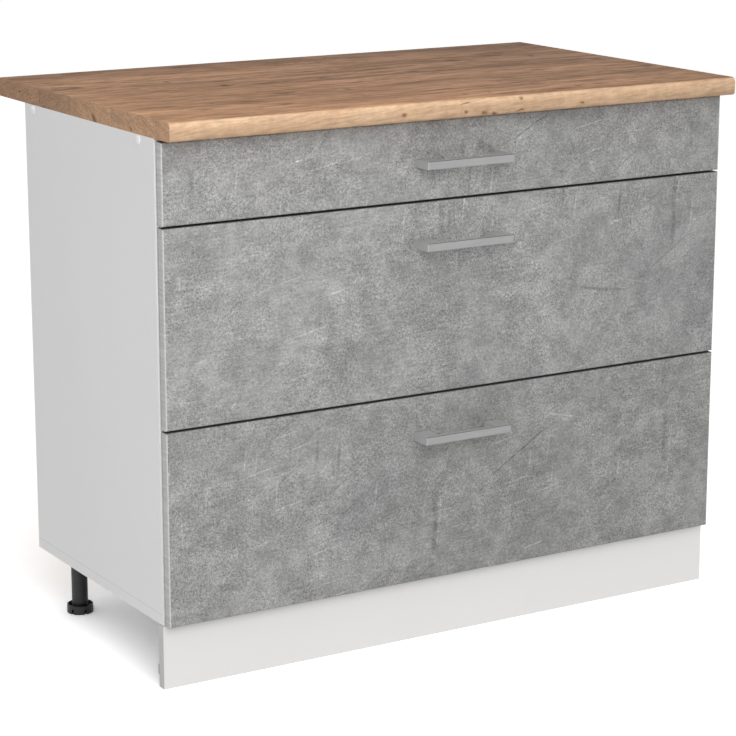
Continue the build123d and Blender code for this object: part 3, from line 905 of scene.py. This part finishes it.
def screw_head(bm, place, radius, height):
    """A pan head with a cross recess."""
    made = [
        ring(bm, share * radius, level * height, HEAD_SEGMENTS, place)
        for share, level in HEAD_PROFILE
    ]
    bm.faces.new(reversed(made[0]))
    for first, second in zip(made, made[1:]):
        bridge(bm, first, second)
    arm, half = CROSS_ARM * radius, CROSS_HALF_WIDTH * radius
    quarter = [(arm, -half), (arm, half), (half, half)]
    outline = [
        Matrix.Rotation(turn * math.pi / 2, 2) @ Vector(point)
        for turn in range(4) for point in quarter
    ]
    upper = [bm.verts.new(place @ Vector((x, y, height))) for x, y in outline]
    lower = [
        bm.verts.new(place @ Vector((CROSS_TAPER * x, CROSS_TAPER * y, CROSS_FLOOR * height)))
        for x, y in outline
    ]
    bridge(bm, upper, lower)
    bm.faces.new(lower)
    rim = [
        bm.edges.get(pair)
        for loop in (made[-1], upper) for pair in zip(loop, loop[1:] + loop[:1])
    ]
    bmesh.ops.triangle_fill(bm, use_beauty=True, edges=rim)


def screws(name, body, places, radius, height):
    """A group of identical screw heads."""
    bm = bmesh.new()
    for place in places:
        screw_head(bm, place, radius, height)
    finished_piece(name, bm, zinc, body)


# Domed caps over the screws in the sides, in shares of their radius and rise
CAP_PROFILE = (
    (0, 0), (1, 0), (1, 0.25), (0.96, 0.55), (0.85, 0.80), (0.62, 0.95), (0.30, 1), (0, 1),
)
CAP_SEGMENTS = 32
cap_low, cap_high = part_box("screw_caps")
cap_radius = (cap_high.z - cap_low.z) / 2
cap_z = (cap_low.z + cap_high.z) / 2
half_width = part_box("side_panel_right")[1].x
cap_rise = cap_high.x - half_width
cap_outline = [(share * cap_radius, level * cap_rise) for share, level in CAP_PROFILE]
bm = bmesh.new()
for side in SIDES.values():
    for y in (cap_low.y + cap_radius, cap_high.y - cap_radius):
        lathe(bm, cap_outline, CAP_SEGMENTS, toward((side * half_width, y, cap_z), X, side))
caps = finished_piece("domed_screw_caps", bm, cap_white, "carcass")
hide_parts("screw_caps")

# Levelling feet: a slotted dish with a hub and ribs, on a stem that runs up into the leg
FOOT_CLEARANCE = 1 * MM
FOOT_RIBS = 6
FOOT_SLOTS = 6
SLOT_WIDTH = 3.5 * MM
SLOT_DEPTH = 3.0 * MM
SLOT_TOP = 8.0 * MM
RIM_STEPS = 12
FLOOR_DISC = 2.2 * MM
RIM_WALL = 2.0 * MM
RIB_HALF = 0.8 * MM
RIB_DROP = 3.0 * MM
RIB_SINK = 0.3 * MM
HUB_WALL = 2.4 * MM
STEM_RADIUS = 10 * MM
STEM_SEGMENTS = 40
SMALL_BEVEL = 0.5 * MM
LARGE_BEVEL = 1 * MM
BLOCK_FACES = ((0, 1, 3, 2), (4, 6, 7, 5), (0, 4, 5, 1), (2, 3, 7, 6), (0, 2, 6, 4), (1, 5, 7, 3))


def foot_dish(bm, place, radius, height):
    """A dish whose rim and floor are cut by slots that start at the floor."""
    half = math.asin(SLOT_WIDTH / 2 / radius)
    period = 2 * math.pi / FOOT_SLOTS
    step = (period - 2 * half) / RIM_STEPS
    turns = [
        math.pi / 2 + slot * period + half + index * step
        for slot in range(FOOT_SLOTS) for index in range(RIM_STEPS + 1)
    ]
    # One section through the rim: from the floor, up the outside, over the lip and down inside
    inside = radius - RIM_WALL
    core = radius - SLOT_DEPTH
    section = [
        (radius, 0),
        (radius, SLOT_TOP),
        (radius, height - SMALL_BEVEL),
        (radius - SMALL_BEVEL, height),
        (inside, height),
        (inside, SLOT_TOP),
        (inside, FLOOR_DISC),
        (core, FLOOR_DISC),
        (core, 0),
    ]
    columns = [
        [bm.verts.new(place @ polar(away, turn, level)) for away, level in section]
        for turn in turns
    ]
    # Faces join points of the section, by number; a slot cuts all below its top
    for index, (first, second) in enumerate(zip(columns, columns[1:] + columns[:1])):
        cut = index % (RIM_STEPS + 1) == RIM_STEPS
        pairs = [(1, 2), (2, 3), (3, 4), (4, 5)]
        pairs += [(5, 1), (7, 8)] if cut else [(8, 0), (0, 1), (5, 6), (6, 7)]
        for low, high in pairs:
            bm.faces.new((first[low], second[low], second[high], first[high]))
        if cut:
            for column in (first, second):
                bm.faces.new([column[point] for point in (0, 1, 5, 6, 7, 8)])
    bm.faces.new([column[7] for column in columns])
    bm.faces.new([column[8] for column in columns])


def block(bm, low, high, place):
    """A straight-sided block between two corners."""
    widths, depths, heights = zip(low, high)
    corners = [
        bm.verts.new(place @ Vector((x, y, z)))
        for z in heights for y in depths for x in widths
    ]
    for face in BLOCK_FACES:
        bm.faces.new([corners[index] for index in face])


def foot(name, material):
    """One levelling foot in the place of its CAD node."""
    low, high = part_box(f"leg_{name}")
    radius = (high.x - low.x) / 2
    place = Matrix.Translation(((low.x + high.x) / 2, (low.y + high.y) / 2, low.z))
    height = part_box("leg_bodies")[0].z - FOOT_CLEARANCE
    hub = STEM_RADIUS + HUB_WALL
    bm = bmesh.new()
    foot_dish(bm, place, radius, height)
    lathe(bm, [
        (0, FLOOR_DISC),
        (hub, FLOOR_DISC),
        (hub, height - LARGE_BEVEL),
        (hub - SMALL_BEVEL, height - SMALL_BEVEL),
        (STEM_RADIUS, height),
        (STEM_RADIUS, high.z - LARGE_BEVEL),
        (STEM_RADIUS - LARGE_BEVEL, high.z),
        (0, high.z),
    ], STEM_SEGMENTS, place)
    rib_low = (hub - RIB_SINK, -RIB_HALF, FLOOR_DISC)
    rib_high = (radius - RIM_WALL + RIB_SINK, RIB_HALF, height - RIB_DROP)
    for index in range(FOOT_RIBS):
        turned = Matrix.Rotation(2 * math.pi * index / FOOT_RIBS, 4, "Z")
        block(bm, rib_low, rib_high, place @ turned)
    piece = finished_piece(f"levelling_{name}", bm, material, name)
    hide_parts(f"leg_{name}")


for end in ("front", "rear"):
    for word in SIDES:
        foot(f"foot_{end}_{word}", black)

# Screw heads, each as its radius and height
PLATE_SCREW = (3.6 * MM, 1.9 * MM)
JOINT_SCREW = (4.6 * MM, 0.6 * MM)
RUNNER_SCREW = (3.2 * MM, 1.2 * MM)
HANDLE_SCREW = (4.0 * MM, 2.2 * MM)
BRACKET_SCREW = (3.0 * MM, 1.4 * MM)
BACK_SCREW = (3.2 * MM, 1.6 * MM)

# Screws in the carcass: leg plates, the joints under the bottom panel, and runner rails
PLATE_HALF = 30 * MM
PLATE_THICKNESS = 4 * MM
PLATE_SCREW_INSET = 8 * MM
leg_low, leg_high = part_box("leg_bodies")
plate_under = bottom_low.z - PLATE_THICKNESS
leg_x = leg_high.x - PLATE_HALF
leg_ys = (leg_low.y + PLATE_HALF, leg_high.y - PLATE_HALF)
reach = PLATE_HALF - PLATE_SCREW_INSET
screws("leg_plate_screws", "carcass", [
    toward((side * leg_x + dx * reach, y + dy * reach, plate_under), Z, -1)
    for side in SIDES.values() for y in leg_ys for dx in (-1, 1) for dy in (-1, 1)
], *PLATE_SCREW)

JOINT_SCREW_SHARES = (0.30, 0.52, 0.72)
joint_x = half_width - (bottom_high.z - bottom_low.z) / 2
screws("bottom_joint_screws", "carcass", [
    toward((side * joint_x, y, bottom_low.z), Z, -1)
    for side in SIDES.values() for y in between(bottom_low.y, bottom_high.y, JOINT_SCREW_SHARES)
], *JOINT_SCREW)

RUNNER_SCREW_SHARES = (0.10, 0.42, 0.90)
RUNNER_SCREW_DROP = 2 * MM
RUNNER_SHEET = 1.2 * MM
runner_places = []
for level in LEVELS:
    for word, side in SIDES.items():
        low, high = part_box(f"cabinet_rail_{level}_{word}")
        wall = max(abs(low.x), abs(high.x)) - RUNNER_SHEET
        screw_z = (low.z + high.z) / 2 - RUNNER_SCREW_DROP
        for y in between(low.y, high.y, RUNNER_SCREW_SHARES):
            runner_places.append(toward((side * wall, y, screw_z), X, -side))
screws("runner_screws", "carcass", runner_places, *RUNNER_SCREW)

# Screws in each drawer: handle, brackets, and the tabs that hold its back
HANDLE_BORE_INSET = 13 * MM
BRACKET_WEB_INSET = 7.8 * MM
BRACKET_SCREW_INSETS = (8 * MM, 26 * MM)
BRACKET_SCREW_SHARES = (0.28, 0.72)
TAB_SCREW_INSET = 9 * MM
TAB_SCREW_SHARES = (0.25, 0.75)
TAB_TOP_INSET = 8 * MM
for level in LEVELS:
    front_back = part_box(f"drawer_front_{level}")[1].y
    handle_low, handle_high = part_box(f"handle_{level}")
    handle_z = (handle_low.z + handle_high.z) / 2
    screws(f"handle_screws_{level}", f"drawer_{level}", [
        toward((x, front_back, handle_z), Y, 1)
        for x in (handle_low.x + HANDLE_BORE_INSET, handle_high.x - HANDLE_BORE_INSET)
    ], *HANDLE_SCREW)
    # Bracket screws run through the web into the drawer side; their heads face outwards
    bracket_low, bracket_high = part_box(f"front_brackets_{level}")
    web_x = bracket_high.x - BRACKET_WEB_INSET
    bracket_ys = [bracket_high.y - inset for inset in BRACKET_SCREW_INSETS]
    bracket_zs = between(bracket_low.z, bracket_high.z, BRACKET_SCREW_SHARES)
    screws(f"front_bracket_screws_{level}", f"drawer_{level}", [
        toward((side * web_x, y, z), X, side)
        for side in SIDES.values() for y in bracket_ys for z in bracket_zs
    ], *BRACKET_SCREW)
    back_low, back_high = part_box(f"drawer_back_{level}")
    side_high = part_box(f"drawer_side_{level}_right")[1]
    tab_x = back_high.x - TAB_SCREW_INSET
    tab_zs = between(back_low.z, side_high.z - TAB_TOP_INSET, TAB_SCREW_SHARES)
    screws(f"drawer_back_screws_{level}", f"drawer_{level}", [
        toward((side * tab_x, side_high.y, z), Y, 1)
        for side in SIDES.values() for z in tab_zs
    ], *BACK_SCREW)

# --- Floor, light and camera ---------------------------------------------------------------

SKY = 0.56
FLOOR_ALBEDO = 0.72
FLOOR_SEEN = 1.79
FLOOR_RADII = (0, 3, 12, 40)
FLOOR_SEGMENTS = 48
# The photograph's viewpoint: its lens and sensor in mm, and its turn and tilt in degrees
CAMERA_LENS = 122.446
CAMERA_SENSOR = 36
CAMERA_REACH = 200
CAMERA_PLACE = (-2.0432, -3.3846, 1.3326)
CAMERA_YAW = 31.132
CAMERA_PITCH = 13.609


def seen_rays(tree):
    """One for rays that carry the background straight to the eye, by way of metal or glass too."""
    path = tree.nodes.new("ShaderNodeLightPath")
    result = path.outputs["Is Camera Ray"]
    for name in ("Is Glossy Ray", "Is Transmission Ray"):
        larger = tree.nodes.new("ShaderNodeMath")
        larger.operation = "MAXIMUM"
        tree.links.new(result, larger.inputs[0])
        tree.links.new(path.outputs[name], larger.inputs[1])
        result = larger.outputs[0]
    return result


def floor_finish():
    """Pale paper: lit as it is, and seen a little brighter, with the object's shadow kept."""
    material = bpy.data.materials.new("studio_floor")
    material.use_nodes = True
    tree = material.node_tree
    tree.nodes.clear()
    output = tree.nodes.new("ShaderNodeOutputMaterial")
    mix = tree.nodes.new("ShaderNodeMixShader")
    for socket, tone in ((mix.inputs[1], FLOOR_ALBEDO), (mix.inputs[2], FLOOR_SEEN)):
        paper = tree.nodes.new("ShaderNodeBsdfDiffuse")
        paper.inputs["Color"].default_value = (tone, tone, tone, 1)
        tree.links.new(paper.outputs[0], socket)
    tree.links.new(seen_rays(tree), mix.inputs[0])
    tree.links.new(mix.outputs[0], output.inputs["Surface"])
    return material


def floor():
    """A wide round floor."""
    bm = bmesh.new()
    rings = [ring(bm, radius, 0, FLOOR_SEGMENTS, Matrix()) for radius in FLOOR_RADII]
    for first, second in zip(rings, rings[1:]):
        bridge(bm, first, second)
    bmesh.ops.recalc_face_normals(bm, faces=bm.faces)
    mesh = bpy.data.meshes.new("studio_floor")
    bm.to_mesh(mesh)
    bm.free()
    mesh.materials.append(floor_finish())
    plane = bpy.data.objects.new("studio_floor", mesh)
    bpy.context.scene.collection.objects.link(plane)


def world():
    """An even white studio, seen as plain white."""
    studio = bpy.data.worlds.new("studio")
    studio.use_nodes = True
    tree = studio.node_tree
    tree.nodes.clear()
    output = tree.nodes.new("ShaderNodeOutputWorld")
    mix = tree.nodes.new("ShaderNodeMixShader")
    for socket, strength in ((mix.inputs[1], SKY), (mix.inputs[2], 1.0)):
        background = tree.nodes.new("ShaderNodeBackground")
        background.inputs["Strength"].default_value = strength
        background.inputs["Color"].default_value = (1, 1, 1, 1)
        tree.links.new(background.outputs[0], socket)
    tree.links.new(seen_rays(tree), mix.inputs[0])
    tree.links.new(mix.outputs[0], output.inputs["Surface"])
    bpy.context.scene.world = studio


def lamp(name, place, target, size, power):
    """A square softbox aimed at a point."""
    light = bpy.data.lights.new(name, "AREA")
    light.shape = "SQUARE"
    light.size = size
    light.energy = power
    lamp_object = bpy.data.objects.new(name, light)
    lamp_object.location = place
    aim = Vector(target) - Vector(place)
    lamp_object.rotation_euler = aim.to_track_quat("-Z", "Y").to_euler()
    lamp_object.visible_camera = False
    bpy.context.scene.collection.objects.link(lamp_object)


def camera():
    """The photograph's viewpoint."""
    lens = bpy.data.cameras.new("photo_view")
    lens.sensor_width = CAMERA_SENSOR
    lens.lens = CAMERA_LENS
    lens.clip_end = CAMERA_REACH
    view = bpy.data.objects.new("photo_view", lens)
    view.location = CAMERA_PLACE
    view.rotation_euler = (math.radians(90 - CAMERA_PITCH), 0, -math.radians(CAMERA_YAW))
    bpy.context.scene.collection.objects.link(view)
    bpy.context.scene.camera = view


floor()
world()
lamp("key", place=(-1.3, -2.4, 1.85), target=(0, -0.1, 0.45), size=1.6, power=27)
lamp("right_fill", place=(1.7, -2.4, 0.9), target=(0.1, -0.2, 0.35), size=1.6, power=9)
lamp("top_fill", place=(-0.4, -0.6, 3.2), target=(0, 0, 0.8), size=2.4, power=11)
camera()
bpy.context.scene.view_settings.view_transform = "Standard"
